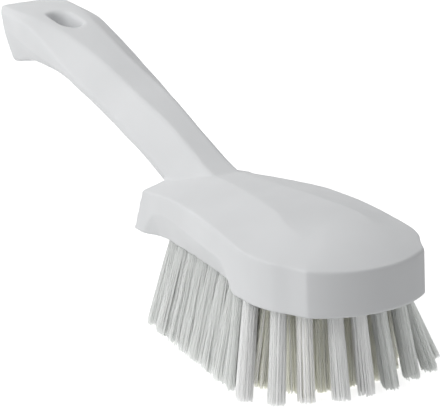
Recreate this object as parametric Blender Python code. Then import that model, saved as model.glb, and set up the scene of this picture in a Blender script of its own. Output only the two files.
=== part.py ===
"""Hand brush with a short handle: one moulded body, and tufts of bristles that sit in its blind holes.

A Blender 4.5 script, in metres with +Z up. +X points to the toe, the bristle tips stand on Z = 0, and
the origin lies under the middle of the whole length. Every place is worked out from the sizes below.
"""

import math

import bmesh
import bpy
import numpy as np
from mathutils import Matrix

# Whole brush
LENGTH = 0.270
BRISTLE_LENGTH = 0.0300
OVERRUN = 0.004
CLEARANCE = 0.0003
MERGE_DISTANCE = 0.00001

# Head: the plan outline is a toe arc, a corner on each side, and a side that runs to the heel
HEAD_LENGTH = 0.1258
HEAD_HALF_WIDTH = 0.0300
TOE_RADIUS = 0.0355
TOE_CORNER_HALF_WIDTH = 0.0213
TOE_STEPS = 18
SIDE_STEPS = 34
SIDE_SHARES = (
    (0.111, 0.809), (0.167, 0.927), (0.223, 0.984), (0.270, 1.000), (0.366, 0.982), (0.461, 0.949),
    (0.564, 0.902), (0.660, 0.851), (0.771, 0.782), (0.866, 0.753), (0.950, 0.756), (1.000, 0.770),
)
WALL_DRAFT_WIDTH = 0.0014
DRAFT_SHARES = ((0.0, 0.0), (0.75, 0.0), (0.835, 0.11), (0.95, 0.85), (1.0, 1.0))
RIM_FILLET_RADIUS = 0.0009
RIM_FILLET_STEPS = 3
FOOT_EDGE_WIDTH = 0.0005

# The heel is cut by a plane that leans forward as it goes up, from a foot behind the head's length
HEEL_LEAN_LENGTH = 0.0083
HEEL_BACK_LENGTH = 0.0048

# Crown of the head, measured up from its underside
CROWN_HEIGHT = 0.0243
RIM_SHARES = (
    (0.0, 0.622), (0.12, 0.668), (0.28, 0.704), (0.36, 0.745), (0.48, 0.791), (0.60, 0.805),
    (0.715, 0.778), (0.835, 0.727), (0.95, 0.660), (1.0, 0.641),
)
SPINE_SHARES = (
    (0.24, 0.945), (0.35, 0.985), (0.50, 1.0), (0.66, 0.990), (0.80, 0.956), (0.90, 0.913), (1.0, 0.861),
)
PLATEAU_SHARES = ((0.0, 0.50), (0.25, 0.49), (0.37, 0.375), (0.50, 0.315), (0.63, 0.262), (0.83, 0.222), (1.0, 0.222))
FLANK_FRONT_SHARE = 0.245
FLANK_BLEND_SHARE = 0.08
PLATEAU_BLEND_SHARE = 0.24
FLANK_SCOOP_DEPTH = 0.0007
DOME_POWER = 2.0
DOME_CENTRE_SHARE = 0.24
FLANK_RING_SHARES = (1.0, 0.78, 0.56, 0.34, 0.14)
PLATEAU_RING_SHARES = (1.0, 0.86, 0.5, 0.0)

# Finger recess under each side of the head: place along the head, inner edge, height of its upper edge
RECESS_HEIGHT = 0.0102
RECESS_STEPS = 28
RECESS_SHARES = (
    (0.288, 1.012, 0.02), (0.335, 0.984, 0.10), (0.366, 0.945, 0.32), (0.392, 0.896, 0.80), (0.415, 0.856, 0.92),
    (0.458, 0.787, 0.96), (0.556, 0.732, 0.98), (0.668, 0.689, 1.0), (0.787, 0.659, 1.0), (0.875, 0.646, 0.96),
    (0.918, 0.652, 0.86), (0.950, 0.695, 0.60), (0.980, 0.770, 0.20), (1.002, 0.830, 0.02),
)

# Handle: each station's place is a share of the length, and its heights and half widths are shares too
HANDLE_HEIGHT = 0.0600
HANDLE_HALF_WIDTH = 0.0156
HANDLE_STATIONS = (
    # place, heights of top, shoulder, band's foot and belly, then half widths of the same four
    (0.3720, 0.384, 0.190, 0.140, 0.070, 0.345, 0.740, 0.790, 0.640),
    (0.4015, 0.418, 0.250, 0.200, 0.115, 0.340, 0.765, 0.795, 0.640),
    (0.4260, 0.458, 0.301, 0.249, 0.160, 0.312, 0.791, 0.797, 0.640),
    (0.4780, 0.545, 0.367, 0.324, 0.245, 0.311, 0.819, 0.821, 0.620),
    (0.5330, 0.628, 0.452, 0.411, 0.330, 0.348, 0.822, 0.834, 0.600),
    (0.5780, 0.684, 0.528, 0.470, 0.398, 0.390, 0.851, 0.859, 0.580),
    (0.6150, 0.728, 0.579, 0.526, 0.448, 0.389, 0.887, 0.889, 0.580),
    (0.6700, 0.790, 0.656, 0.605, 0.525, 0.380, 0.950, 0.944, 0.590),
    (0.7190, 0.843, 0.717, 0.664, 0.580, 0.394, 0.994, 0.986, 0.610),
    (0.7670, 0.890, 0.787, 0.721, 0.630, 0.455, 1.017, 1.006, 0.660),
    (0.8190, 0.936, 0.865, 0.746, 0.675, 0.525, 1.015, 0.998, 0.730),
    (0.8890, 0.976, 0.944, 0.789, 0.686, 0.674, 1.020, 1.000, 0.780),
    (0.9480, 0.994, 0.958, 0.832, 0.641, 0.800, 0.995, 0.985, 0.790),
    (1.0000, 1.000, 0.955, 0.850, 0.600, 0.845, 0.910, 0.888, 0.825),
)
HANDLE_STEPS = 4
BELLY_SAG_DEPTH = 0.0012
SHOULDER_SHARE = 0.12
END_CORNER_RADIUS = 0.0030
END_CORNER_STEPS = 6
END_BULGE_LENGTH = 0.0010
END_BULGE_STEPS = 3
END_LEAN_LENGTH = 0.0170

# Slot in the handle's end, which goes over a wall hook
HANG_SLOT_LENGTH = 0.0200
HANG_SLOT_WIDTH = 0.0086
HANG_SLOT_FROM_END_LENGTH = 0.0345
HANG_SLOT_STEPS = 8

# Tufts
TUFT_DIAMETER = 0.0044
TUFT_HOLE_DIAMETER = TUFT_DIAMETER + CLEARANCE + CLEARANCE
TUFT_HOLE_DEPTH = 0.0105
TUFT_HOLE_SIDES = 10
TUFT_SHARES = (
    # root's place from the toe and distance from the middle, then the tip's: the ones off the middle are paired
    (0.085, 0.000, 0.072, 0.000), (0.099, 0.293, 0.076, 0.310), (0.135, 0.567, 0.107, 0.643),
    (0.195, 0.750, 0.125, 0.943), (0.278, 0.810, 0.211, 1.187), (0.362, 0.760, 0.306, 1.093),
    (0.441, 0.690, 0.374, 1.063), (0.521, 0.647, 0.449, 1.040), (0.600, 0.610, 0.537, 1.007),
    (0.676, 0.583, 0.616, 0.973), (0.743, 0.563, 0.700, 0.933), (0.811, 0.547, 0.787, 0.910),
    (0.877, 0.533, 0.878, 0.893),
    (0.167, 0.000, 0.159, 0.000), (0.179, 0.307, 0.163, 0.333), (0.223, 0.550, 0.199, 0.607),
    (0.298, 0.517, 0.274, 0.750), (0.374, 0.440, 0.334, 0.667), (0.449, 0.383, 0.405, 0.617),
    (0.529, 0.343, 0.481, 0.577), (0.604, 0.320, 0.560, 0.547), (0.680, 0.303, 0.644, 0.520),
    (0.747, 0.290, 0.719, 0.497), (0.812, 0.280, 0.797, 0.477),
    (0.250, 0.217, 0.227, 0.250), (0.326, 0.167, 0.306, 0.207), (0.401, 0.000, 0.401, 0.000),
    (0.477, 0.000, 0.477, 0.000), (0.552, 0.000, 0.552, 0.000), (0.628, 0.000, 0.628, 0.000),
    (0.703, 0.000, 0.703, 0.000), (0.775, 0.000, 0.775, 0.000), (0.877, 0.180, 0.877, 0.180),
)
TUFT_TIP_DIAMETER = 0.0057
ANCHOR_HEIGHT = 0.0020
ANCHOR_THICKNESS = 0.0006
STRANDS = 8
STRAND_WIDTH = 0.0010
STRAND_SIDES = 4

TOE_X = LENGTH / 2
HEEL_X = TOE_X - HEAD_LENGTH
BUTT_X = TOE_X - LENGTH


def make_collection(name, hidden):
    collection = bpy.data.collections.new(name)
    collection.hide_render = hidden
    bpy.context.scene.collection.children.link(collection)
    return collection


def make_material(name, colour, roughness, metallic=0.0):
    material = bpy.data.materials.new(name)
    material.use_nodes = True
    shader = material.node_tree.nodes["Principled BSDF"]
    shader.inputs["Base Color"].default_value = (*colour, 1.0)
    shader.inputs["Roughness"].default_value = roughness
    shader.inputs["Metallic"].default_value = metallic
    material.diffuse_color = (*colour, 1.0)
    return material


def object_from(name, bm, collection, material=None):
    bmesh.ops.recalc_face_normals(bm, faces=bm.faces)
    mesh = bpy.data.meshes.new(name)
    bm.to_mesh(mesh)
    bm.free()
    obj = bpy.data.objects.new(name, mesh)
    collection.objects.link(obj)
    if material:
        mesh.materials.append(material)
    return obj


def cutter_from(name, bm, collection):
    obj = object_from(name, bm, collection)
    obj.hide_render = True
    obj.display_type = "WIRE"
    return obj


def boolean(obj, other, operation):
    modifier = obj.modifiers.new(other.name, "BOOLEAN")
    modifier.solver = "EXACT"
    modifier.operation = operation
    modifier.object = other


def loft(bm, rings, closed):
    """Skins a list of rings, each a list of points, and returns the rows of vertices."""
    rows = [[bm.verts.new(point) for point in ring] for ring in rings]
    for low, high in zip(rows, rows[1:]):
        count = len(low)
        for i in range(count if closed else count - 1):
            j = (i + 1) % count
            bm.faces.new((low[i], low[j], high[j], high[i]))
    return rows


def smooth_curve(knots, places):
    """Values of a smooth curve through knots of (place, value ...), with no overshoot between them."""
    knots = np.array(knots, float)
    x, values = knots[:, 0], knots[:, 1:]
    step = np.diff(x)[:, None]
    slope = np.diff(values, axis=0) / step
    tangent = np.zeros_like(values)
    same_way = slope[:-1] * slope[1:] > 0
    total = np.where(same_way, slope[:-1] + slope[1:], 1)
    tangent[1:-1] = np.where(same_way, 2 * slope[:-1] * slope[1:] / total, 0)
    tangent[0], tangent[-1] = slope[0], slope[-1]
    places = np.clip(np.atleast_1d(places), x[0], x[-1])
    index = np.clip(np.searchsorted(x, places) - 1, 0, len(x) - 2)
    h = step[index]
    t = ((places - x[index])[:, None]) / h
    start = (1 + 2 * t) * (1 - t) ** 2 * values[index] + t * (1 - t) ** 2 * h * tangent[index]
    end = t * t * (3 - 2 * t) * values[index + 1] + t * t * (t - 1) * h * tangent[index + 1]
    return start + end


def head_share(x):
    return (TOE_X - x) / HEAD_LENGTH


TOE_CORNER_ANGLE = math.asin(TOE_CORNER_HALF_WIDTH / TOE_RADIUS)
TOE_CORNER_X = TOE_X - TOE_RADIUS * (1 - math.cos(TOE_CORNER_ANGLE))


def side_half_width(x):
    """Half width of the head's underside behind the toe corners."""
    corner = (head_share(TOE_CORNER_X), TOE_CORNER_HALF_WIDTH / HEAD_HALF_WIDTH)
    return smooth_curve((corner, *SIDE_SHARES), head_share(np.asarray(x, float)))[:, 0] * HEAD_HALF_WIDTH


def half_width(x):
    """Half width of the head's underside at any place along it."""
    x = np.atleast_1d(np.asarray(x, float))
    across = np.sqrt(np.clip(TOE_RADIUS**2 - (TOE_RADIUS - (TOE_X - x)) ** 2, 0, None))
    return np.where(x > TOE_CORNER_X, across, side_half_width(x))


def wall_draft(x):
    """How far the rim lies in from the underside's outline at this place along the head."""
    return smooth_curve(DRAFT_SHARES, head_share(x))[:, 0] * WALL_DRAFT_WIDTH


def head_outline(inset, draft):
    """The underside's outline, moved in by inset and by a share of the draft: a U from the heel round the toe."""
    toe_angle = np.linspace(TOE_CORNER_ANGLE, 0, TOE_STEPS // 2 + 1)
    toe = np.stack([TOE_X - TOE_RADIUS * (1 - np.cos(toe_angle)), TOE_RADIUS * np.sin(toe_angle)], 1)
    side_x = np.linspace(HEEL_X - HEEL_BACK_LENGTH - OVERRUN, TOE_CORNER_X, SIDE_STEPS + 1)[:-1]
    side = np.stack([side_x, side_half_width(side_x)], 1)
    half = np.concatenate([side, toe])
    along = np.gradient(half, axis=0)
    normal = np.stack([-along[:, 1], along[:, 0]], 1) / np.linalg.norm(along, axis=1)[:, None]
    normal *= np.where(normal[:, 1:] + normal[:, :1] < 0, -1, 1)
    normal[-1] = (1, 0)
    half = half - (inset + draft * wall_draft(half[:, 0]))[:, None] * normal
    half[-1, 1] = 0
    left = half * (1, -1)
    return np.concatenate([left, half[-2::-1]])


def rim_height(x):
    return smooth_curve(RIM_SHARES, head_share(x))[:, 0] * CROWN_HEIGHT


def spine_height(x):
    return smooth_curve(SPINE_SHARES, head_share(x))[:, 0] * CROWN_HEIGHT


def plateau_share(x):
    return smooth_curve(PLATEAU_SHARES, head_share(x))[:, 0]


def crown_height(rim_x, share):
    """Height of the head's top above its underside, at this share of the way out from its spine to the rim at rim_x."""
    plateau = plateau_share(rim_x)
    spine = spine_height(rim_x)
    drop = spine - rim_height(rim_x)
    down = np.clip((share - plateau) / (1 - plateau), 0, 1)
    facet = drop * down + FLANK_SCOOP_DEPTH * down * (1 - down)
    dome = drop * share**DOME_POWER
    blend = PLATEAU_BLEND_SHARE + (FLANK_BLEND_SHARE - PLATEAU_BLEND_SHARE) * down
    mix = np.clip((head_share(rim_x) - FLANK_FRONT_SHARE + blend / 2) / blend, 0, 1)
    return spine - dome - (facet - dome) * mix


def head_rings():
    """Rings of the head from the edge of its underside, up the wall and the fillet, to its spine."""
    rings = []
    for inset, height in ((FOOT_EDGE_WIDTH, 0.0), (0.0, FOOT_EDGE_WIDTH)):
        outline = head_outline(inset, 0)
        rings.append(np.column_stack([outline, np.full(len(outline), BRISTLE_LENGTH + height)]))
    for angle in np.linspace(0, math.pi / 2, RIM_FILLET_STEPS + 1)[:-1]:
        outline = head_outline(RIM_FILLET_RADIUS * (1 - math.cos(angle)), 1)
        drop = RIM_FILLET_RADIUS * (1 - math.sin(angle))
        rings.append(np.column_stack([outline, BRISTLE_LENGTH + rim_height(outline[:, 0]) - drop]))
    rim = head_outline(RIM_FILLET_RADIUS, 1)
    centre_x = TOE_X - DOME_CENTRE_SHARE * HEAD_LENGTH
    plateau = plateau_share(rim[:, 0])
    shares = [plateau + (1 - plateau) * share for share in FLANK_RING_SHARES]
    shares += [plateau * share for share in PLATEAU_RING_SHARES]
    for share in shares:
        x = np.where(rim[:, 0] > centre_x, centre_x + (rim[:, 0] - centre_x) * share, rim[:, 0])
        rings.append(np.column_stack([x, rim[:, 1] * share, BRISTLE_LENGTH + crown_height(rim[:, 0], share)]))
    return rings


def build_head(collection, material):
    bm = bmesh.new()
    loft(bm, head_rings(), closed=False)
    bmesh.ops.remove_doubles(bm, verts=bm.verts, dist=MERGE_DISTANCE)
    bmesh.ops.holes_fill(bm, edges=[edge for edge in bm.edges if edge.is_boundary])
    bmesh.ops.bisect_plane(
        bm, geom=[*bm.verts, *bm.edges, *bm.faces], plane_co=(HEEL_X - HEEL_BACK_LENGTH, 0, BRISTLE_LENGTH),
        plane_no=(-CROWN_HEIGHT, 0, HEEL_LEAN_LENGTH), clear_outer=True,
    )
    bmesh.ops.holes_fill(bm, edges=[edge for edge in bm.edges if edge.is_boundary])
    return object_from("body", bm, collection, material)


def handle_ring(values):
    """One section of the handle, from its top flat round the shoulder, the side band and the belly."""
    place, top, shoulder, foot, belly, flat, wide, band, under = values
    x = TOE_X - place * LENGTH
    z = BRISTLE_LENGTH + HANDLE_HEIGHT * np.array([top, top, shoulder, foot, belly, belly])
    y = HANDLE_HALF_WIDTH * np.array([0.0, flat, wide, band, under, 0.0])
    z[-1] -= BELLY_SAG_DEPTH
    corners = np.column_stack([y, z])
    half = [corners[0]]
    for before, corner, after in zip(corners, corners[1:], corners[2:]):
        half += [corner + (before - corner) * SHOULDER_SHARE, corner + (after - corner) * SHOULDER_SHARE]
    half.append(corners[-1])
    right = [(x, y, height) for y, height in half]
    left = [(x, -y, height) for y, height in half[-2:0:-1]]
    return right + left


def build_handle(collection):
    places = [station[0] for station in HANDLE_STATIONS]
    finer = np.concatenate([
        np.linspace(start, end, HANDLE_STEPS, endpoint=False) for start, end in zip(places, places[1:])
    ])
    finer = np.append(finer, (places[-1], places[-1] + OVERRUN / LENGTH))
    values = smooth_curve(HANDLE_STATIONS, finer)
    bm = bmesh.new()
    rows = loft(bm, [handle_ring((place, *rest)) for place, rest in zip(finer, values)], closed=True)
    for row in (rows[0], rows[-1]):
        bm.faces.new(row)
    return cutter_from("handle_blank", bm, collection)


def flat_curve(name, points, thickness, collection):
    """A closed 2D outline, filled and extruded to a plate that is centred on its own plane."""
    curve = bpy.data.curves.new(name, "CURVE")
    curve.dimensions = "2D"
    curve.fill_mode = "BOTH"
    curve.extrude = thickness / 2
    spline = curve.splines.new("POLY")
    spline.points.add(len(points) - 1)
    for point, (x, y) in zip(spline.points, points):
        point.co = (x, y, 0, 1)
    spline.use_cyclic_u = True
    holder = bpy.data.objects.new(name, curve)
    collection.objects.link(holder)
    mesh = bpy.data.meshes.new_from_object(holder.evaluated_get(bpy.context.evaluated_depsgraph_get()))
    collection.objects.unlink(holder)
    bpy.data.objects.remove(holder)
    bm = bmesh.new()
    bm.from_mesh(mesh)
    bmesh.ops.remove_doubles(bm, verts=bm.verts, dist=MERGE_DISTANCE)
    return bm


def build_handle_end(collection):
    """The plan shape that rounds the handle's end, leaning forward towards the floor."""
    radius = END_CORNER_RADIUS
    half = HANDLE_HALF_WIDTH + OVERRUN
    inner = HANDLE_HALF_WIDTH - radius
    bulge_x = BUTT_X + END_BULGE_LENGTH
    corner = []
    for angle in np.linspace(0, math.pi / 2, END_CORNER_STEPS + 1):
        corner.append((bulge_x + radius * (1 - math.sin(angle)), inner + radius * math.cos(angle)))
    crest = [
        (BUTT_X + END_BULGE_LENGTH * (y / inner) ** 2, y) for y in np.linspace(inner, 0, END_BULGE_STEPS + 1)[1:]
    ]
    front = TOE_X - HEAD_LENGTH / 2
    right = [(front, half), (bulge_x + 2 * radius, half), (bulge_x + 2 * radius, HANDLE_HALF_WIDTH + CLEARANCE)]
    right += corner + crest
    points = right + [(x, -y) for x, y in right[-2::-1]]
    top = BRISTLE_LENGTH + HANDLE_HEIGHT
    bm = flat_curve("handle_end_outline", points, 2 * top, collection)
    lean = END_LEAN_LENGTH / HANDLE_HEIGHT
    shear = Matrix.Identity(4)
    shear[0][2] = -lean
    shift = Matrix.Translation((lean * top, 0, 0))
    bmesh.ops.transform(bm, matrix=shift @ shear @ Matrix.Translation((0, 0, BRISTLE_LENGTH)), verts=bm.verts)
    return cutter_from("handle_end_outline", bm, collection)


def build_hang_slot(collection):
    """A long round-ended slot down through the handle's end."""
    radius = HANG_SLOT_WIDTH / 2
    reach = HANG_SLOT_LENGTH / 2 - radius
    points = []
    for end in (1, -1):
        for angle in np.linspace(-math.pi / 2, math.pi / 2, HANG_SLOT_STEPS + 1):
            points.append((end * (reach + radius * math.cos(angle)), end * radius * math.sin(angle)))
    bm = flat_curve("hang_slot", points, HANDLE_HEIGHT, collection)
    middle = (BUTT_X + HANG_SLOT_FROM_END_LENGTH, 0, BRISTLE_LENGTH + HANDLE_HEIGHT)
    bmesh.ops.translate(bm, vec=middle, verts=bm.verts)
    return cutter_from("hang_slot", bm, collection)


def build_recess(side, collection):
    """The cutter of one finger recess: a slanted face that dips in under the head's side wall."""
    places = np.linspace(RECESS_SHARES[0][0], RECESS_SHARES[-1][0], RECESS_STEPS + 1)
    inner, height = smooth_curve(RECESS_SHARES, places).T
    x = TOE_X - places * HEAD_LENGTH
    outside = HEAD_HALF_WIDTH + OVERRUN
    rings = []
    for place, y, top in zip(x, inner * HEAD_HALF_WIDTH, height * RECESS_HEIGHT):
        wall = half_width(place)[0] - wall_draft(place)[0] * top / rim_height(place)[0]
        slope = (wall - y) / max(top, FOOT_EDGE_WIDTH)
        z = BRISTLE_LENGTH + top
        rings.append([
            (place, side * (y - slope * OVERRUN), BRISTLE_LENGTH - OVERRUN),
            (place, side * wall, z),
            (place, side * outside, z),
            (place, side * outside, BRISTLE_LENGTH - OVERRUN),
        ])
    bm = bmesh.new()
    rows = loft(bm, rings, closed=True)
    for row in (rows[0], rows[-1]):
        bm.faces.new(row)
    return cutter_from("recess_left" if side < 0 else "recess_right", bm, collection)


def tuft_places():
    """Root and tip of each tuft on the plan: those off the middle stand on both sides of it."""
    places = []
    for along, across, tip_along, tip_across in TUFT_SHARES:
        for side in ((-1, 1) if across else (1,)):
            root = np.array((TOE_X - along * HEAD_LENGTH, side * across * HEAD_HALF_WIDTH))
            tip = np.array((TOE_X - tip_along * HEAD_LENGTH, side * tip_across * HEAD_HALF_WIDTH))
            places.append((root, tip))
    return places


def build_tuft_holes(places, collection):
    bm = bmesh.new()
    for root, _ in places:
        depth = TUFT_HOLE_DEPTH + OVERRUN
        middle = (*root, BRISTLE_LENGTH + TUFT_HOLE_DEPTH - depth / 2)
        bmesh.ops.create_cone(
            bm, cap_ends=True, segments=TUFT_HOLE_SIDES, radius1=TUFT_HOLE_DIAMETER / 2,
            radius2=TUFT_HOLE_DIAMETER / 2, depth=depth, matrix=Matrix.Translation(middle),
        )
    return cutter_from("tuft_holes", bm, collection)


def build_tuft(name, root, tip, collection, cutters, material):
    """A tuft folded round its anchor in the hole, and its strands, which fan out to the floor."""
    bm = bmesh.new()
    top = BRISTLE_LENGTH + TUFT_HOLE_DEPTH - CLEARANCE
    bmesh.ops.create_cone(
        bm, cap_ends=True, segments=TUFT_HOLE_SIDES, radius1=TUFT_DIAMETER / 2, radius2=TUFT_DIAMETER / 2,
        depth=top - BRISTLE_LENGTH, matrix=Matrix.Translation((*root, (top + BRISTLE_LENGTH) / 2)),
    )
    tuft = object_from(name, bm, collection, material)
    bm = bmesh.new()
    for k in range(STRANDS):
        ring = 0 if k == 0 else 1
        angle = 2 * math.pi * k / (STRANDS - 1)
        direction = np.array((math.cos(angle), math.sin(angle))) * ring
        high = root + direction * (TUFT_DIAMETER - STRAND_WIDTH - CLEARANCE) / 2
        low = tip + direction * (TUFT_TIP_DIAMETER - STRAND_WIDTH) / 2
        slope = (high - low) / BRISTLE_LENGTH
        rings = []
        for z in (0.0, BRISTLE_LENGTH + STRAND_WIDTH):
            centre = low + slope * z
            rings.append([
                (centre[0] + STRAND_WIDTH / 2 * math.cos(turn), centre[1] + STRAND_WIDTH / 2 * math.sin(turn), z)
                for turn in np.arange(STRAND_SIDES) * 2 * math.pi / STRAND_SIDES + angle
            ])
        rows = loft(bm, rings, closed=True)
        for row in rows:
            bm.faces.new(row)
    anchor = (TUFT_HOLE_DIAMETER - CLEARANCE, ANCHOR_THICKNESS, ANCHOR_HEIGHT)
    middle = Matrix.Translation((*root, top - ANCHOR_HEIGHT))
    bmesh.ops.create_cube(bm, size=1, matrix=middle @ Matrix.Diagonal((*anchor, 1)))
    strands = cutter_from(name + "_strands", bm, cutters)
    boolean(tuft, strands, "UNION")
    return tuft


def main():
    for obj in list(bpy.data.objects):
        bpy.data.objects.remove(obj)
    parts = make_collection("hand_brush", hidden=False)
    cutters = make_collection("cutters", hidden=True)
    plastic = make_material("white_polypropylene", (0.78, 0.79, 0.79), 0.38)
    bristle = make_material("white_polyester_bristle", (0.86, 0.86, 0.82), 0.30)

    body = build_head(parts, plastic)
    places = tuft_places()
    handle = build_handle(cutters)
    boolean(handle, build_handle_end(cutters), "INTERSECT")
    for side in (-1, 1):
        boolean(body, build_recess(side, cutters), "DIFFERENCE")
    boolean(body, handle, "UNION")
    boolean(body, build_hang_slot(cutters), "DIFFERENCE")
    boolean(body, build_tuft_holes(places, cutters), "DIFFERENCE")
    for number, (root, tip) in enumerate(places, 1):
        build_tuft(f"tuft_{number:02d}", root, tip, parts, cutters, bristle)
    print(f"{len(places)} tufts, {len(places) * STRANDS} strands")


main()
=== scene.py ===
"""Hand brush: one body of moulded polypropylene, and tufts of polyester filament set in its blind holes."""

import math
import random

import bpy
import numpy as np
from mathutils import Matrix, Vector


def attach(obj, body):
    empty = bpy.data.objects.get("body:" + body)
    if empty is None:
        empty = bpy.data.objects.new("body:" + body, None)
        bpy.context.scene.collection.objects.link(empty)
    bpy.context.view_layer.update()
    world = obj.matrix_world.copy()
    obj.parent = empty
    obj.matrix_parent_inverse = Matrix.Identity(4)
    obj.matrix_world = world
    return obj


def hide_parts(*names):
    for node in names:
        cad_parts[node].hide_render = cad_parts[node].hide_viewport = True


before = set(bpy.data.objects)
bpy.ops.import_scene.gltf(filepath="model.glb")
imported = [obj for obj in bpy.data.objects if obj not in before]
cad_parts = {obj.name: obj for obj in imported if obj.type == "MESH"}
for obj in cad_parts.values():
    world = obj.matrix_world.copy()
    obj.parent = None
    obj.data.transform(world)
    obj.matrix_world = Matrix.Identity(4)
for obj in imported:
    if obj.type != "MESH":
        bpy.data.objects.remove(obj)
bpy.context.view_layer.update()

# Whole brush, in metres. The body's sizes are its solid's, apart from the toe's arc, the last two stations
# of the handle, how round its corners are, and the tuft holes.
LENGTH = 0.270
BRISTLE_LENGTH = 0.0300
TOE_X = LENGTH / 2
BUTT_X = TOE_X - LENGTH
MM = 0.001
# How far a shape reaches past the place where it is cut
OVERRUN = 0.004
# Points this close become one, and points this close to a cut lie on it
MERGE_DISTANCE = 0.000004
CUT_DISTANCE = 0.000001

# Head: the plan outline is a toe arc, a corner on each side, and a side that runs to the heel
HEAD_LENGTH = 0.1258
HEAD_HALF_WIDTH = 0.0300
HEEL_X = TOE_X - HEAD_LENGTH
TOE_RADIUS = 0.0332
TOE_CORNER_HALF_WIDTH = 0.0218
TOE_CORNER_ANGLE = math.asin(TOE_CORNER_HALF_WIDTH / TOE_RADIUS)
TOE_CORNER_X = TOE_X - TOE_RADIUS * (1 - math.cos(TOE_CORNER_ANGLE))
TOE_POINTS = 61
SIDE_POINTS = 130
# A place is a share of the head's length from the toe. It has a share of the half width here, and a share
# of the draft below.
SIDE_SHARES = (
    (0.111, 0.809), (0.167, 0.927), (0.223, 0.984), (0.270, 1.000), (0.366, 0.982), (0.461, 0.949),
    (0.564, 0.902), (0.660, 0.851), (0.771, 0.782), (0.866, 0.753), (0.950, 0.756), (1.000, 0.770),
)
WALL_DRAFT = 0.0014
DRAFT_SHARES = ((0.0, 0.0), (0.75, 0.0), (0.835, 0.11), (0.95, 0.85), (1.0, 1.0))
RIM_FILLET = 0.0009
FILLET_RINGS = 6
FOOT_EDGE = 0.0005
# Rings of the underside, as shares of its half width, and then of its edge: inset and height, as shares of
# the edge's size
UNDERSIDE_RINGS = (0.0, 0.5)
FOOT_RINGS = ((1.0, 0.0), (0.3, 0.3), (0.0, 1.0))

# The heel is cut by a plane that leans forward as it goes up
HEEL_LEAN = 0.0083
HEEL_BACK = 0.0048

# Crown of the head, measured up from its underside. A place has the height of the rim or the spine as a
# share, or how much of the way out to the rim the flat plateau on top takes.
CROWN_HEIGHT = 0.0243
RIM_SHARES = (
    (0.0, 0.622), (0.12, 0.668), (0.28, 0.704), (0.36, 0.745), (0.48, 0.791), (0.60, 0.805),
    (0.715, 0.778), (0.835, 0.727), (0.95, 0.660), (1.0, 0.641),
)
SPINE_SHARES = (
    (0.24, 0.945), (0.35, 0.985), (0.50, 1.0), (0.66, 0.990), (0.80, 0.956), (0.90, 0.913), (1.0, 0.861),
)
PLATEAU_SHARES = (
    (0.0, 0.50), (0.25, 0.49), (0.37, 0.375), (0.50, 0.315), (0.63, 0.262), (0.83, 0.222), (1.0, 0.222),
)
# The dome over the toe gives way to flat flanks here, within a blend that is longer towards the plateau
FLANK_FRONT = 0.245
FLANK_BLEND = 0.08
PLATEAU_BLEND = 0.24
# In their middle the flanks are hollow by a quarter of this
FLANK_SCOOP = 0.0007
# The dome drops with this power of the way out, round a middle at this place
DOME_POWER = 2.0
DOME_CENTRE = 0.24
# Rings of the crown: shares of the flank from the rim in, and then shares of the plateau
FLANK_RINGS = (1.0, 0.93, 0.84, 0.74, 0.64, 0.54, 0.44, 0.34, 0.24, 0.14, 0.05)
PLATEAU_RINGS = (0.98, 0.90, 0.8, 0.66, 0.5, 0.33, 0.16, 0.0)
# The toe's corners are sharp on the wall and melt away within this share of the way in over the dome
CORNER_MELT = 0.2
SOFTENING_PASSES = 200

# Finger recess under each side of the head: place along the head, inner edge, height of its upper edge
RECESS_HEIGHT = 0.0102
RECESS_RINGS = 90
RECESS_SHARES = (
    (0.288, 1.012, 0.02), (0.335, 0.984, 0.10), (0.366, 0.945, 0.32), (0.392, 0.896, 0.80),
    (0.415, 0.856, 0.92), (0.458, 0.787, 0.96), (0.556, 0.732, 0.98), (0.668, 0.689, 1.0),
    (0.787, 0.659, 1.0), (0.875, 0.646, 0.96), (0.918, 0.652, 0.86), (0.950, 0.695, 0.60),
    (0.980, 0.770, 0.20), (1.002, 0.830, 0.02),
)

# Handle: each station's place is a share of the length, and its heights and half widths are shares too
HANDLE_HEIGHT = 0.0600
HANDLE_HALF_WIDTH = 0.0156
HANDLE_RINGS = 160
HANDLE_STATIONS = (
    # place, heights of top, shoulder, band's foot and belly, then half widths of the same four
    (0.3720, 0.384, 0.190, 0.140, 0.070, 0.345, 0.740, 0.790, 0.640),
    (0.4015, 0.418, 0.250, 0.200, 0.115, 0.340, 0.765, 0.795, 0.640),
    (0.4260, 0.458, 0.301, 0.249, 0.160, 0.312, 0.791, 0.797, 0.640),
    (0.4780, 0.545, 0.367, 0.324, 0.245, 0.311, 0.819, 0.821, 0.620),
    (0.5330, 0.628, 0.452, 0.411, 0.330, 0.348, 0.822, 0.834, 0.600),
    (0.5780, 0.684, 0.528, 0.470, 0.398, 0.390, 0.851, 0.859, 0.580),
    (0.6150, 0.728, 0.579, 0.526, 0.448, 0.389, 0.887, 0.889, 0.580),
    (0.6700, 0.790, 0.656, 0.605, 0.525, 0.380, 0.950, 0.944, 0.590),
    (0.7190, 0.843, 0.717, 0.664, 0.580, 0.394, 0.994, 0.986, 0.610),
    (0.7670, 0.890, 0.787, 0.721, 0.630, 0.455, 1.017, 1.006, 0.660),
    (0.8190, 0.936, 0.865, 0.746, 0.675, 0.525, 1.015, 0.998, 0.730),
    (0.8890, 0.976, 0.944, 0.789, 0.686, 0.674, 1.020, 1.000, 0.780),
    (0.9480, 0.994, 0.958, 0.832, 0.641, 0.800, 0.993, 0.985, 0.755),
    (1.0000, 1.000, 0.955, 0.850, 0.600, 0.845, 0.910, 0.890, 0.800),
)
BELLY_SAG = 0.0012
# How much of each side of a section its rounded corner takes, and the points on that corner
CORNER_SHARE = 0.16
CORNER_POINTS = 6
# The handle's end: its round corners, how far its middle bulges, and how far its foot is in front of its top
END_CORNER = 0.0030
END_CORNER_POINTS = 13
END_BULGE = 0.0010
END_BULGE_POINTS = 8
END_LEAN = 0.0170

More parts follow.
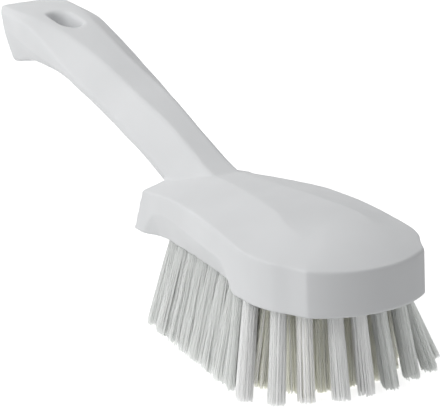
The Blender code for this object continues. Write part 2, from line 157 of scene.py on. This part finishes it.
# Hang slot. Its lip is rings of depth below the handle's top and flare, in millimetres.
SLOT_LENGTH = 0.0200
SLOT_WIDTH = 0.0086
SLOT_FROM_END = 0.0345
SLOT_POINTS = 64
SLOT_LIP = (
    (-4.0, 1.5), (0.0, 1.5), (0.25, 0.9), (0.7, 0.45), (1.4, 0.15), (2.4, 0.0), (60.0, -0.6),
)
# The flare is this many times as much again at the end towards the head
HEAD_SIDE_FLARE = 2.2

# The moulding's skin: how finely it is remeshed and how much it is smoothed
VOXEL = 0.0005
SKIN_SMOOTHING = 0.5
SKIN_PASSES = 3
MOST_TRIANGLES = 190000

# Tuft holes. The solid's are deeper, which doesn't show between the filaments.
HOLE_DEPTH = 0.004
HOLE_PLAY = 0.0003
HOLE_SIDES = 16

# Filaments: real ones are some 0.2 mm wide, drawn at 0.45 mm so that each shows as a line
FILAMENTS = 120
FILAMENT_WIDTH = 0.00045
FILAMENT_SIDES = 5
FILAMENT_LENGTHS = 8
# Edges that turn by more degrees than this stay sharp: a filament is smooth along its length only
CREASE_ANGLE = 60.0
WIDTH_SHARES = (0.9, 1.1)
WAVE_HEIGHTS = (0.00002, 0.00010)
WAVE_LENGTHS = (0.010, 0.017)
# Most filaments end near the floor, and a few up to this height above it
RAGGED = 0.0019
RAGGED_POWER = 1.4
# 0.5 packs a bundle evenly, and less packs it closer at its edge
PACKING = 0.46
GOLDEN_ANGLE = math.pi * (3 - math.sqrt(5))

# How far filaments reach into the head, and how near to a tuft's highest and lowest points its ends are read
PLUG_DEPTH = 0.0036
FLAT_END = 0.0001
# Tufts, round the toe and then in the side rows, which are wider, looser and longer along their row
ROOT_RADIUS = 0.0027
TIP_RADIUS = 0.0030
SIDE_TIP_RADIUS = 0.0038
SIDE_ROW_FRONT = 0.104
SIDE_ROW_BLEND = 0.016
SIDE_EXTRA = 0.6
SIDE_STRETCH = 0.5
SIDE_SQUEEZE = 0.15
SIDE_SPLAY = 0.5
LOOSE = 0.00018
SIDE_LOOSE = 0.00060
# How far a tuft leans from its solid, in millimetres: towards the toe and out from the middle at its hole,
# then the same at its tip. A number that isn't here shares the lean of the one before it, its mirror, and
# where that one isn't here either, the tuft stands as its solid does.
LEAN = {
    1: (-3.5, 0.0, -0.8, 0.0),
    2: (-3.0, -1.0, -0.6, 0.0),
    4: (-3.0, -0.7, -0.7, 0.4),
    5: (-3.0, 0.5, -0.7, 0.5),
    6: (0.0, 0.3, -1.7, 0.7),
    7: (0.0, -0.6, -1.7, 0.6),
    8: (-1.5, 2.1, 0.0, 0.0),
    10: (0.0, 2.0, 0.0, 0.0),
    24: (0.6, 0.0, 0.8, -1.6),
    31: (0.0, 2.6, 0.0, 2.2),
}
NO_LEAN = (0.0, 0.0, 0.0, 0.0)
# Painted light and shade of a tuft's filaments, from 0, the darkest white, to 1, the lightest, set to stand
# for how light falls on each tuft. Five front tufts have their own, and then come the rest of the outer row,
# painted darker, the inner rows, painted lightest to lift the shade under the head, and how far a filament
# strays at random from its tuft's tone.
PAINTED_TUFT_SHADES = {1: 0.66, 2: 0.62, 4: 0.85, 6: 0.55, 8: 0.72}
OUTER_PAINTED_SHADE = 0.20
INNER_PAINTED_LIGHT = 1.0
TONE_SPREAD = 0.08
OUTER_TUFTS = 25
CHANCE_SEED = 7

# Studio, where a lamp has a name, a place and its watts
FLOOR_SIZE = 8.0
FLOOR_DROP = 0.0002
LAMP_SIZE = 0.9
LAMP_TARGET = (0.0, 0.0, 0.05)
LAMPS = (("window_left", (-0.10, -0.95, 0.75), 7.5), ("softbox_top", (-0.25, 0.10, 1.20), 3.1))

# The photograph's camera: metres, degrees, and a focal length in the photograph's pixels
CAMERA_PLACE = (0.69474, -0.34073, 0.25306)
CAMERA_AZIMUTH = 62.94
CAMERA_ELEVATION = 15.85
CAMERA_ROLL = -2.5
FOCAL_PIXELS = 2204.59
PHOTO_WIDTH = 440
SENSOR_WIDTH = 36.0


# Materials

def linear(colour):
    """A colour written as sRGB hex, such as #DFE0E0, as the linear RGBA that a socket takes."""
    parts = [int(colour[i:i + 2], 16) / 255 for i in (1, 3, 5)]
    return (*[c / 12.92 if c <= 0.04045 else ((c + 0.055) / 1.055) ** 2.4 for c in parts], 1.0)


def add_node(tree, kind, settings=None, links=None):
    """Adds a node. A setting is an attribute or an input's value, and a link is an input's (node, output)."""
    node = tree.nodes.new(kind)
    for name, value in (settings or {}).items():
        if hasattr(node, name):
            setattr(node, name, value)
        else:
            node.inputs[name].default_value = value
    for name, (source, output) in (links or {}).items():
        tree.links.new(source.outputs[output], node.inputs[name])
    return node


def new_tree(owner):
    """The empty node tree of a material or a world."""
    owner.use_nodes = True
    owner.node_tree.nodes.clear()
    return owner.node_tree


def set_stops(ramp, stops):
    """Gives a colour ramp its stops, each of (place, colour)."""
    elements = ramp.color_ramp.elements
    elements.remove(elements[1])
    elements[0].position = stops[0][0]
    elements[0].color = linear(stops[0][1])
    for place, colour in stops[1:]:
        elements.new(place).color = linear(colour)


def moulded_polypropylene():
    """White polypropylene from a blasted mould: a satin skin with a low grain and no sharp reflections."""
    material = bpy.data.materials.new("moulded_white_polypropylene")
    tree = new_tree(material)
    place = add_node(tree, "ShaderNodeTexCoord")
    where = {"Vector": (place, "Object")}
    # Melt flow leaves the white a little uneven over some 35 mm
    flow = add_node(tree, "ShaderNodeTexNoise", {"Scale": 28.0, "Detail": 2.0, "Roughness": 0.5}, where)
    tint = add_node(tree, "ShaderNodeValToRGB", links={"Fac": (flow, "Fac")})
    set_stops(tint, ((0.35, "#E3E4E5"), (0.68, "#E8E9EA")))
    # The skin is a little more or less satin over some 6 mm
    skin = add_node(tree, "ShaderNodeTexNoise", {"Scale": 160.0, "Detail": 1.0}, where)
    gloss = add_node(
        tree, "ShaderNodeMapRange", {"From Min": 0.3, "From Max": 0.7, "To Min": 0.50, "To Max": 0.60},
        {"Value": (skin, "Fac")},
    )
    # The mould's grain is about 0.1 mm, drawn at 0.6 mm so that it shows
    grain = add_node(tree, "ShaderNodeTexNoise", {"Scale": 1700.0, "Detail": 2.0, "Roughness": 0.55}, where)
    bump = add_node(
        tree, "ShaderNodeBump", {"Strength": 0.10, "Distance": 0.00006}, {"Height": (grain, "Fac")},
    )
    shader = add_node(
        tree, "ShaderNodeBsdfPrincipled",
        {
            "IOR": 1.49, "Specular IOR Level": 0.25, "Metallic": 0.0,
            "Subsurface Weight": 0.06, "Subsurface Radius": (0.004, 0.004, 0.004), "Subsurface Scale": 1.0,
        },
        {"Base Color": (tint, "Color"), "Roughness": (gloss, "Result"), "Normal": (bump, "Normal")},
    )
    add_node(tree, "ShaderNodeOutputMaterial", links={"Surface": (shader, "BSDF")})
    return material


def polyester_filament():
    """Drawn polyester: smooth and faintly see-through, so that light leaves a tuft white and a bit warm. Its
    white is also painted lighter or darker per tuft for light and shade, lightest in the inner rows.
    """
    material = bpy.data.materials.new("drawn_white_polyester")
    tree = new_tree(material)
    # Painted light and shade per tuft, with a little random tone per filament, picks the white
    shade_and_tone = add_node(tree, "ShaderNodeAttribute", {"attribute_name": "shade_and_tone"})
    tint = add_node(tree, "ShaderNodeValToRGB", links={"Fac": (shade_and_tone, "Fac")})
    set_stops(tint, ((0.0, "#F3F4F3"), (0.88, "#FDFDFD"), (1.0, "#FFFFFA")))
    skin = add_node(
        tree, "ShaderNodeBsdfPrincipled", {"IOR": 1.57, "Roughness": 0.30, "Metallic": 0.0},
        {"Base Color": (tint, "Color")},
    )
    core = add_node(tree, "ShaderNodeBsdfTranslucent", links={"Color": (tint, "Color")})
    both = add_node(tree, "ShaderNodeMixShader", {"Fac": 0.82}, {1: (skin, "BSDF"), 2: (core, "BSDF")})
    add_node(tree, "ShaderNodeOutputMaterial", links={"Surface": (both, "Shader")})
    return material


def seen_rays(tree):
    """1 for the camera's rays and those that a surface mirrors or lets through, and 0 for all others."""
    ray = add_node(tree, "ShaderNodeLightPath")
    highest = {"operation": "MAXIMUM"}
    straight = add_node(
        tree, "ShaderNodeMath", highest, {0: (ray, "Is Camera Ray"), 1: (ray, "Is Glossy Ray")},
    )
    return add_node(
        tree, "ShaderNodeMath", highest, {0: (straight, "Value"), 1: (ray, "Is Transmission Ray")},
    )


def studio_paper():
    """White paper sweep, lifted to white for the camera, which still shows the brush's shadow."""
    material = bpy.data.materials.new("studio_paper")
    tree = new_tree(material)
    paper = add_node(tree, "ShaderNodeBsdfDiffuse", {"Color": linear("#F2F2F2")})
    lift = add_node(tree, "ShaderNodeEmission", {"Color": linear("#FFFFFF"), "Strength": 0.72})
    lifted = add_node(tree, "ShaderNodeAddShader", links={0: (paper, "BSDF"), 1: (lift, "Emission")})
    both = add_node(
        tree, "ShaderNodeMixShader",
        links={0: (seen_rays(tree), "Value"), 1: (paper, "BSDF"), 2: (lifted, "Shader")},
    )
    add_node(tree, "ShaderNodeOutputMaterial", links={"Surface": (both, "Shader")})
    return material


# Small tools

def deselect_all():
    if bpy.context.mode != "OBJECT":
        bpy.ops.object.mode_set(mode="OBJECT")
    bpy.ops.object.select_all(action="DESELECT")


def pick(obj):
    deselect_all()
    obj.select_set(True)
    bpy.context.view_layer.objects.active = obj


def edit_all():
    """Enters edit mode with the whole mesh selected."""
    bpy.ops.object.mode_set(mode="EDIT")
    bpy.ops.mesh.select_all(action="SELECT")


def turn_outwards():
    """Turns every face outwards and leaves edit mode."""
    bpy.ops.mesh.select_all(action="SELECT")
    bpy.ops.mesh.normals_make_consistent(inside=False)
    bpy.ops.object.mode_set(mode="OBJECT")


def place_vertices(obj, points):
    obj.data.vertices.foreach_set("co", np.asarray(points, np.float32).reshape(-1))


def apply_modifier(obj, kind, **settings):
    pick(obj)
    modifier = obj.modifiers.new(kind.lower(), kind)
    for name, value in settings.items():
        setattr(modifier, name, value)
    bpy.ops.object.modifier_apply(modifier=modifier.name)


def cut(obj, other, operation="DIFFERENCE"):
    apply_modifier(obj, "BOOLEAN", operation=operation, object=other, solver="EXACT")
    bpy.data.objects.remove(other)


def smooth_curve(knots, places):
    """Values of a smooth curve through knots of (place, value ...), with no overshoot between them."""
    knots = np.array(knots, float)
    x, values = knots[:, 0], knots[:, 1:]
    step = np.diff(x)[:, None]
    slope = np.diff(values, axis=0) / step
    tangent = np.zeros_like(values)
    same_way = slope[:-1] * slope[1:] > 0
    total = np.where(same_way, slope[:-1] + slope[1:], 1)
    tangent[1:-1] = np.where(same_way, 2 * slope[:-1] * slope[1:] / total, 0)
    tangent[0] = slope[0]
    tangent[-1] = slope[-1]
    places = np.clip(np.atleast_1d(places), x[0], x[-1])
    index = np.clip(np.searchsorted(x, places) - 1, 0, len(x) - 2)
    gap = step[index]
    t = (places - x[index])[:, None] / gap
    start = (1 + 2 * t) * (1 - t) ** 2 * values[index] + t * (1 - t) ** 2 * gap * tangent[index]
    end = t * t * (3 - 2 * t) * values[index + 1] + t * t * (t - 1) * gap * tangent[index + 1]
    return start + end


def wrapped_grid(name, rings, closed):
    """A primitive grid with its rows laid along the rings, closed round or not, and its open ends filled."""
    rings = np.array(rings, float)
    if closed:
        rings = np.concatenate([rings, rings[:, :1]], axis=1)
    rows, columns = rings.shape[:2]
    deselect_all()
    bpy.ops.mesh.primitive_grid_add(x_subdivisions=columns - 1, y_subdivisions=rows - 1, size=1.0)
    skin = bpy.context.object
    skin.name = name
    place_vertices(skin, rings)
    edit_all()
    bpy.ops.mesh.remove_doubles(threshold=MERGE_DISTANCE)
    bpy.ops.mesh.select_all(action="DESELECT")
    bpy.ops.mesh.select_non_manifold()
    bpy.ops.mesh.fill_holes(sides=0)
    turn_outwards()
    return skin


def upright_prism(name, outline, low, high):
    """A filled outline drawn out from one height to the other."""
    deselect_all()
    bpy.ops.mesh.primitive_circle_add(vertices=len(outline), radius=1.0, fill_type="NGON")
    prism = bpy.context.object
    prism.name = name
    place_vertices(prism, [(x, y, low) for x, y in outline])
    edit_all()
    bpy.ops.mesh.extrude_region_move(TRANSFORM_OT_translate={"value": (0, 0, high - low)})
    turn_outwards()
    return prism


# The body

def head_share(x):
    """Where a place along X is on the head, from 0 at the toe to 1 at the heel."""
    return (TOE_X - x) / HEAD_LENGTH


def side_half_width(x):
    corner = (head_share(TOE_CORNER_X), TOE_CORNER_HALF_WIDTH / HEAD_HALF_WIDTH)
    return smooth_curve((corner, *SIDE_SHARES), head_share(np.asarray(x, float)))[:, 0] * HEAD_HALF_WIDTH


def wall_draft(x):
    return smooth_curve(DRAFT_SHARES, head_share(x))[:, 0] * WALL_DRAFT


def rim_height(x):
    return smooth_curve(RIM_SHARES, head_share(x))[:, 0] * CROWN_HEIGHT


def head_outline(inset, draft):
    """The head's outline, moved in by inset and a share of the draft: a U from the heel round the toe."""
    angle = np.linspace(TOE_CORNER_ANGLE, 0, TOE_POINTS)
    toe = np.stack([TOE_X - TOE_RADIUS * (1 - np.cos(angle)), TOE_RADIUS * np.sin(angle)], 1)
    side_x = np.linspace(HEEL_X - HEEL_BACK - OVERRUN, TOE_CORNER_X, SIDE_POINTS, endpoint=False)
    half = np.concatenate([np.stack([side_x, side_half_width(side_x)], 1), toe])
    along = np.gradient(half, axis=0)
    normal = np.stack([-along[:, 1], along[:, 0]], 1) / np.linalg.norm(along, axis=1)[:, None]
    normal[-1] = (1, 0)
    half = half - (inset + draft * wall_draft(half[:, 0]))[:, None] * normal
    half[-1, 1] = 0
    return np.concatenate([half * (1, -1), half[-2::-1]])


def crown_height(rim_x, share):
    """Height of the head's top above its underside, this share of the way out from the spine to the rim."""
    plateau = smooth_curve(PLATEAU_SHARES, head_share(rim_x))[:, 0]
    spine = smooth_curve(SPINE_SHARES, head_share(rim_x))[:, 0] * CROWN_HEIGHT
    drop = spine - rim_height(rim_x)
    down = np.clip((share - plateau) / (1 - plateau), 0, 1)
    facet = drop * down + FLANK_SCOOP * down * (1 - down)
    dome = drop * share**DOME_POWER
    blend = PLATEAU_BLEND + (FLANK_BLEND - PLATEAU_BLEND) * down
    mix = np.clip((head_share(rim_x) - FLANK_FRONT) / blend + 0.5, 0, 1)
    return spine - dome - (facet - dome) * mix


def ring_above(outline, height):
    """The outline at a height above the head's underside, which may change along it."""
    return np.column_stack([outline, BRISTLE_LENGTH + np.broadcast_to(height, len(outline))])


def wall_rings():
    """The underside, the foot's edge, and the rim's fillet, with the wall between the last two."""
    foot = head_outline(FOOT_EDGE, 0)
    rings = [ring_above(foot * (1, share), 0) for share in UNDERSIDE_RINGS]
    for inset, height in FOOT_RINGS:
        rings.append(ring_above(head_outline(FOOT_EDGE * inset, 0), FOOT_EDGE * height))
    for angle in np.linspace(0, math.pi / 2, FILLET_RINGS, endpoint=False):
        outline = head_outline(RIM_FILLET * (1 - math.cos(angle)), 1)
        rings.append(ring_above(outline, rim_height(outline[:, 0]) - RIM_FILLET * (1 - math.sin(angle))))
    return rings


def crown_rings():
    """The dome over the toe, the flanks and the plateau, from the rim in to the spine."""
    rim = head_outline(RIM_FILLET, 1)
    centre_x = TOE_X - DOME_CENTRE * HEAD_LENGTH
    plateau = smooth_curve(PLATEAU_SHARES, head_share(rim[:, 0]))[:, 0]
    soft = rim.copy()
    for _ in range(SOFTENING_PASSES):
        soft[1:-1] += (soft[:-2] + soft[2:] - 2 * soft[1:-1]) / 4
    rings = []
    shares = [plateau + (1 - plateau) * share for share in FLANK_RINGS]
    shares += [plateau * share for share in PLATEAU_RINGS]
    for share in shares:
        edge = rim + (soft - rim) * np.clip((1 - share) / CORNER_MELT, 0, 1)[:, None]
        x = np.where(edge[:, 0] > centre_x, centre_x + (edge[:, 0] - centre_x) * share, edge[:, 0])
        rings.append(ring_above(np.column_stack([x, edge[:, 1] * share]), crown_height(rim[:, 0], share)))
    return rings


def make_head():
    """One ring after the other from the underside up to the spine, then the slanted heel."""
    head = wrapped_grid("brush_body", wall_rings() + crown_rings(), closed=False)
    edit_all()
    bpy.ops.mesh.bisect(
        plane_co=(HEEL_X - HEEL_BACK, 0, BRISTLE_LENGTH), plane_no=(-CROWN_HEIGHT, 0, HEEL_LEAN),
        use_fill=True, clear_outer=True, threshold=CUT_DISTANCE,
    )
    bpy.ops.object.mode_set(mode="OBJECT")
    return head


def handle_section(values):
    """One section of the handle: flat top, shoulder, side band and belly, with each corner rounded."""
    place, top, shoulder, foot, belly, flat, wide, band, under = values
    z = BRISTLE_LENGTH + HANDLE_HEIGHT * np.array([top, top, shoulder, foot, belly, belly])
    y = HANDLE_HALF_WIDTH * np.array([0.0, flat, wide, band, under, 0.0])
    z[-1] -= BELLY_SAG
    corners = np.column_stack([y, z])
    half = [corners[0]]
    for before, corner, after in zip(corners, corners[1:], corners[2:]):
        start = corner + (before - corner) * CORNER_SHARE
        end = corner + (after - corner) * CORNER_SHARE
        for t in np.linspace(0, 1, CORNER_POINTS):
            half.append((1 - t) ** 2 * start + 2 * t * (1 - t) * corner + t * t * end)
    half.append(corners[-1])
    x = TOE_X - place * LENGTH
    right = [(x, y, height) for y, height in half]
    left = [(x, -y, height) for y, height in half[-2:0:-1]]
    return right + left


def handle_end():
    """What the handle is kept within: its end bulges, leans and has round corners."""
    outside = HANDLE_HALF_WIDTH + OVERRUN
    inner = HANDLE_HALF_WIDTH - END_CORNER
    crest_x = BUTT_X + END_BULGE
    step_x = crest_x + 2 * END_CORNER
    right = [(TOE_X - HEAD_LENGTH / 2, outside), (step_x, outside), (step_x, HANDLE_HALF_WIDTH)]
    for angle in np.linspace(0, math.pi / 2, END_CORNER_POINTS):
        right.append((crest_x + END_CORNER * (1 - math.sin(angle)), inner + END_CORNER * math.cos(angle)))
    for y in np.linspace(inner, 0, END_BULGE_POINTS + 1)[1:]:
        right.append((BUTT_X + END_BULGE * (y / inner) ** 2, y))
    outline = right + [(x, -y) for x, y in right[-2::-1]]
    end = upright_prism("handle_end", outline, 0.0, 2 * BRISTLE_LENGTH + HANDLE_HEIGHT)
    for vertex in end.data.vertices:
        vertex.co.x += END_LEAN / HANDLE_HEIGHT * (BRISTLE_LENGTH + HANDLE_HEIGHT - vertex.co.z)
    return end


def make_handle():
    """A loft through the stations, kept within the shape of its end."""
    places = np.linspace(HANDLE_STATIONS[0][0], HANDLE_STATIONS[-1][0], HANDLE_RINGS)
    values = smooth_curve(HANDLE_STATIONS, places)
    rings = [handle_section((place, *rest)) for place, rest in zip(places, values)]
    rings.append(handle_section((places[-1] + OVERRUN / LENGTH, *values[-1])))
    handle = wrapped_grid("handle_blank", rings, closed=True)
    cut(handle, handle_end(), "INTERSECT")
    return handle


def finger_recess(side):
    """What the finger recess takes away: the foot of the wall, back to a slanted face."""
    places = np.linspace(RECESS_SHARES[0][0], RECESS_SHARES[-1][0], RECESS_RINGS)
    inner, height = smooth_curve(RECESS_SHARES, places).T
    x = TOE_X - places * HEAD_LENGTH
    outside = side * (HEAD_HALF_WIDTH + OVERRUN)
    below = BRISTLE_LENGTH - OVERRUN
    rings = []
    for at, y, top in zip(x, inner * HEAD_HALF_WIDTH, height * RECESS_HEIGHT):
        wall = side_half_width(at)[0] - wall_draft(at)[0] * top / rim_height(at)[0]
        slope = (wall - y) / max(top, FOOT_EDGE)
        above = BRISTLE_LENGTH + top
        rings.append([
            (at, side * (y - slope * OVERRUN), below), (at, side * wall, above),
            (at, outside, above), (at, outside, below),
        ])
    return wrapped_grid("recess", rings, closed=True)


def hang_slot():
    """A stadium through the handle. Its lip is rounded over, most of all at the end towards the head."""
    reach = (SLOT_LENGTH - SLOT_WIDTH) / 2
    middle = BUTT_X + SLOT_FROM_END
    angle = np.linspace(0, 2 * math.pi, SLOT_POINTS, endpoint=False) + math.pi / SLOT_POINTS
    heights = [station[:2] for station in HANDLE_STATIONS]
    rings = []
    for depth, flare in SLOT_LIP:
        radius = SLOT_WIDTH / 2 + flare * MM
        head_side = max(0.0, flare) * MM * HEAD_SIDE_FLARE * np.maximum(0, np.cos(angle))
        x = middle + np.sign(np.cos(angle)) * reach + (radius + head_side) * np.cos(angle)
        top = smooth_curve(heights, (TOE_X - x) / LENGTH)[:, 0] * HANDLE_HEIGHT
        rings.append(np.column_stack([x, radius * np.sin(angle), BRISTLE_LENGTH + top - depth * MM]))
    return wrapped_grid("hang_slot", rings, closed=True)


def tuft_holes(roots):
    """The tufts' blind holes, joined as one cutter that reaches as far below the head as into it."""
    holes = []
    for root in roots:
        bpy.ops.mesh.primitive_cylinder_add(
            vertices=HOLE_SIDES, radius=ROOT_RADIUS + HOLE_PLAY, depth=2 * HOLE_DEPTH,
            location=(*root, BRISTLE_LENGTH),
        )
        holes.append(bpy.context.object)
    pick(holes[0])
    for hole in holes:
        hole.select_set(True)
    bpy.ops.object.join()
    bpy.ops.object.transform_apply(location=True)
    return holes[0]


def make_body(roots):
    """The whole moulding. A fine remesh melts its parts together and rounds each edge, as the mould does."""
    body = make_head()
    cut(body, finger_recess(-1))
    cut(body, finger_recess(1))
    cut(body, make_handle(), "UNION")
    cut(body, hang_slot())
    cut(body, tuft_holes(roots))
    apply_modifier(body, "REMESH", mode="VOXEL", voxel_size=VOXEL, use_smooth_shade=True)
    apply_modifier(body, "SMOOTH", factor=SKIN_SMOOTHING, iterations=SKIN_PASSES)
    triangles = sum(len(face.vertices) - 2 for face in body.data.polygons)
    apply_modifier(body, "DECIMATE", ratio=min(1.0, MOST_TRIANGLES / triangles))
    pick(body)
    bpy.ops.object.shade_smooth()
    body.data.materials.clear()
    body.data.materials.append(moulded_polypropylene())
    return body


# The tufts

def tuft_lines():
    """Root and tip of each tuft: the middle of its solid's top and of its flat ends, moved by its lean."""
    lines = {}
    for name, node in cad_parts.items():
        if not name.startswith("tuft_"):
            continue
        points = np.empty(len(node.data.vertices) * 3, np.float32)
        node.data.vertices.foreach_get("co", points)
        points = points.reshape(-1, 3)
        high = points[points[:, 2] > points[:, 2].max() - FLAT_END]
        low = points[points[:, 2] < FLAT_END]
        root = (high.min(axis=0) + high.max(axis=0))[:2] / 2
        tip = (low.min(axis=0) + low.max(axis=0))[:2] / 2
        number = int(name[-2:])
        lean = LEAN.get(number) or LEAN.get(number - 1, NO_LEAN)
        out = math.copysign(1.0, tip[1])
        root = root + np.array((lean[0], lean[1] * out)) * MM
        tip = tip + np.array((lean[2], lean[3] * out)) * MM
        lines[name] = (root, tip)
    return lines


def make_filament():
    """One filament, from 0 to 1 along Z with a radius of 1: a primitive cylinder cut into lengths."""
    deselect_all()
    bpy.ops.mesh.primitive_cylinder_add(
        vertices=FILAMENT_SIDES, radius=1.0, depth=1.0, location=(0, 0, 0.5),
    )
    filament = bpy.context.object
    bpy.ops.object.transform_apply(location=True)
    for length in range(1, FILAMENT_LENGTHS):
        edit_all()
        bpy.ops.mesh.bisect(plane_co=(0, 0, length / FILAMENT_LENGTHS), plane_no=(0, 0, 1))
    bpy.ops.object.mode_set(mode="OBJECT")
    points = np.array([vertex.co for vertex in filament.data.vertices])
    faces = [list(face.vertices) for face in filament.data.polygons]
    bpy.data.objects.remove(filament)
    return points, faces


def filament_points(points, root, tip, spread, side, chance):
    """A filament's points, from its plug to its ragged end: it splays with its tuft, strays and waves."""
    loose = LOOSE + SIDE_LOOSE * side
    stray = np.array((chance.gauss(0, loose), chance.gauss(0, loose)))
    end_z = RAGGED * chance.random() ** RAGGED_POWER
    wave_height = chance.uniform(*WAVE_HEIGHTS)
    turn = chance.uniform(0, 2 * math.pi)
    wave_length = chance.uniform(*WAVE_LENGTHS)
    radius = FILAMENT_WIDTH / 2 * chance.uniform(*WIDTH_SHARES)
    z = end_z + (BRISTLE_LENGTH + PLUG_DEPTH - end_z) * points[:, 2]
    down = np.clip((BRISTLE_LENGTH - z) / BRISTLE_LENGTH, 0, 1)
    # The wave grows over the first third, because the hole holds the filament still
    wave = wave_height * np.sin(2 * math.pi * z / wave_length + turn) * np.minimum(1, down * 3)
    tip_radius = TIP_RADIUS + (SIDE_TIP_RADIUS - TIP_RADIUS) * side
    splay = down ** (1 - SIDE_SPLAY * side)
    opening = ROOT_RADIUS + (tip_radius - ROOT_RADIUS) * splay - FILAMENT_WIDTH / 2
    centre = root + (tip - root + stray) * down[:, None] + spread * opening[:, None]
    centre = centre + wave[:, None] * (math.cos(turn), math.sin(turn))
    return np.column_stack([centre + points[:, :2] * radius, z])


def make_tuft(name, root, tip, filament, chance, material):
    """A bundle of filaments that leaves its hole tight, opens towards the floor and ends ragged."""
    shape, faces = filament
    tuft_number = int(name[-2:])
    # Painted light and shade: the tuft's white by its number, darker in the outer row and lightest in the
    # inner rows
    shade_and_tone = PAINTED_TUFT_SHADES.get(tuft_number, OUTER_PAINTED_SHADE) if tuft_number <= OUTER_TUFTS else INNER_PAINTED_LIGHT
    side = min(1.0, max(0.0, (SIDE_ROW_FRONT - tip[0]) / SIDE_ROW_BLEND))
    row_shape = np.array((1 + SIDE_STRETCH * side, 1 - SIDE_SQUEEZE * side))
    count = round(FILAMENTS * (1 + SIDE_EXTRA * side))
    phase = chance.uniform(0, 2 * math.pi)
    points = []
    polygons = []
    shades_and_tones = []
    for number in range(count):
        angle = number * GOLDEN_ANGLE + phase
        share = ((number + 0.5) / count) ** PACKING
        spread = np.array((math.cos(angle), math.sin(angle))) * share * row_shape
        points.append(filament_points(shape, root, tip, spread, side, chance))
        first = number * len(shape)
        polygons += [[first + corner for corner in face] for face in faces]
        shades_and_tones += [min(1.0, max(0.0, chance.gauss(shade_and_tone, TONE_SPREAD)))] * len(shape)
    mesh = bpy.data.meshes.new(name)
    mesh.from_pydata(np.concatenate(points).tolist(), [], polygons)
    mesh.update()
    mesh.attributes.new("shade_and_tone", "FLOAT", "POINT").data.foreach_set("value", shades_and_tones)
    mesh.materials.append(material)
    tuft = bpy.data.objects.new(name, mesh)
    bpy.context.scene.collection.objects.link(tuft)
    pick(tuft)
    bpy.ops.object.shade_smooth_by_angle(angle=math.radians(CREASE_ANGLE))
    return tuft


# The studio

def make_floor():
    deselect_all()
    bpy.ops.mesh.primitive_plane_add(size=FLOOR_SIZE, location=(0, 0, -FLOOR_DROP))
    floor = bpy.context.object
    floor.name = "studio_floor"
    floor.data.materials.append(studio_paper())


def make_air():
    """Soft, slightly cool light from all round, which the camera sees as plain white."""
    world = bpy.data.worlds.new("studio_air")
    bpy.context.scene.world = world
    tree = new_tree(world)
    soft = add_node(tree, "ShaderNodeBackground", {"Color": (0.98, 0.99, 1.0, 1.0), "Strength": 0.29})
    white = add_node(tree, "ShaderNodeBackground", {"Color": linear("#FFFFFF"), "Strength": 1.0})
    both = add_node(
        tree, "ShaderNodeMixShader",
        links={0: (seen_rays(tree), "Value"), 1: (soft, "Background"), 2: (white, "Background")},
    )
    add_node(tree, "ShaderNodeOutputWorld", links={"Surface": (both, "Shader")})


def make_lamps():
    for name, place, power in LAMPS:
        light = bpy.data.lights.new(name, "AREA")
        light.shape = "SQUARE"
        light.size = LAMP_SIZE
        light.energy = power
        lamp = bpy.data.objects.new(name, light)
        lamp.location = place
        lamp.rotation_euler = (Vector(LAMP_TARGET) - Vector(place)).to_track_quat("-Z", "Y").to_euler()
        bpy.context.scene.collection.objects.link(lamp)


def make_camera():
    """The photograph's own view: a long lens from in front of the toe, to the left and a little above."""
    azimuth = math.radians(CAMERA_AZIMUTH)
    elevation = math.radians(CAMERA_ELEVATION)
    level = math.cos(elevation)
    back = Vector((math.sin(azimuth) * level, -math.cos(azimuth) * level, math.sin(elevation)))
    right = Vector((math.cos(azimuth), math.sin(azimuth), 0))
    turned = Matrix((right, back.cross(right), back)).transposed().to_4x4()
    roll = Matrix.Rotation(math.radians(CAMERA_ROLL), 4, "Z")
    data = bpy.data.cameras.new("photo_view")
    data.sensor_width = SENSOR_WIDTH
    data.lens = FOCAL_PIXELS / PHOTO_WIDTH * SENSOR_WIDTH
    data.clip_start = 0.05
    data.clip_end = 20.0
    camera = bpy.data.objects.new("photo_view", data)
    camera.matrix_world = Matrix.Translation(CAMERA_PLACE) @ turned @ roll
    bpy.context.scene.collection.objects.link(camera)
    bpy.context.scene.camera = camera


def main():
    make_camera()
    make_floor()
    make_air()
    make_lamps()
    chance = random.Random(CHANCE_SEED)
    lines = tuft_lines()

    body = make_body([root for root, _ in lines.values()])
    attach(body, "root")
    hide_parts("body")

    polyester = polyester_filament()
    filament = make_filament()
    for name, (root, tip) in sorted(lines.items()):
        tuft = make_tuft("bristle_" + name, root, tip, filament, chance, polyester)
        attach(tuft, "root")
        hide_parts(name)

    bpy.context.scene.view_settings.view_transform = "Standard"
    deselect_all()


main()
